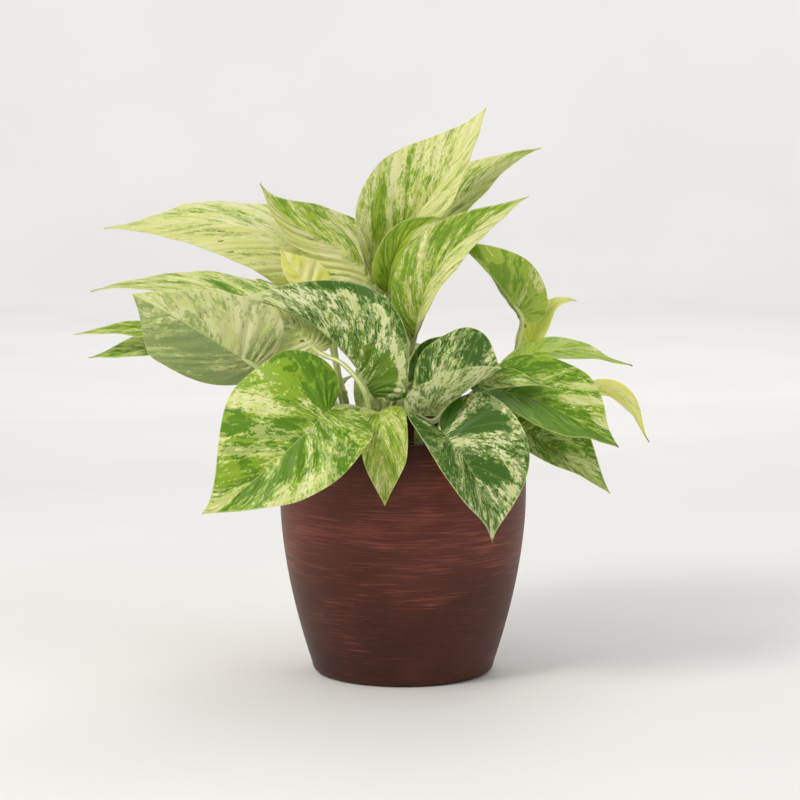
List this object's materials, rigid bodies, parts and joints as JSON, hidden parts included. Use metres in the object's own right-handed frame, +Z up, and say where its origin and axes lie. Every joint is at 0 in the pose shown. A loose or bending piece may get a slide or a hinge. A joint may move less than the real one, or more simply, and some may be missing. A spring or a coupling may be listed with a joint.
{
  "type": "potted marble queen pothos",
  "caption": "House plant with heart-shaped leaves marbled in cream and green, on short vines in a plain round tapered nursery pot, to stand indoors.",
  "frame": {"origin": "centre of the pot's flat underside, on the surface that it stands on", "axes": "+Z up along the pot's axis; -Y towards the viewer of the picture; +X to that viewer's right"},
  "size_m": [0.3633, 0.255, 0.3571],
  "materials": {
    "pot": "satin",
    "potting_mix": "matte",
    "vine": "satin",
    "leaf": "satin"
  },
  "bodies": {
    "root": {"pot": "pot", "potting_mix": "potting_mix", "vine_front_left": "vine", "vine_front_right": "vine", "vine_left": "vine", "vine_right": "vine", "vine_centre": "vine", "vine_back": "vine", "vine_back_left": "vine", "vine_back_right": "vine", "leaf_crown": "leaf", "leaf_crown_behind": "leaf", "leaf_unrolling": "leaf", "leaf_upper_right": "leaf", "leaf_right_arching": "leaf", "leaf_right_pale": "leaf", "leaf_right_high": "leaf", "leaf_right_long": "leaf", "leaf_right_sliver": "leaf", "leaf_right_low": "leaf", "leaf_right_folded": "leaf", "leaf_right_dark_edge": "leaf", "leaf_front_right": "leaf", "leaf_front_small": "leaf", "leaf_front_left": "leaf", "leaf_centre_cupped": "leaf", "leaf_left_underside": "leaf", "leaf_left_cream": "leaf", "leaf_upper_left_cream": "leaf", "leaf_upper_left": "leaf", "leaf_young_yellow": "leaf", "leaf_left_tip_high": "leaf", "leaf_left_tip_low": "leaf", "leaf_far_right_pale": "leaf", "leaf_back_left_low": "leaf", "leaf_back_left_high": "leaf", "leaf_back_tall": "leaf", "leaf_back_right_high": "leaf", "leaf_back_right_low": "leaf", "leaf_back_drooping": "leaf", "leaf_back_left_drooping": "leaf", "leaf_back_centre": "leaf"}
  },
  "joints": []
}
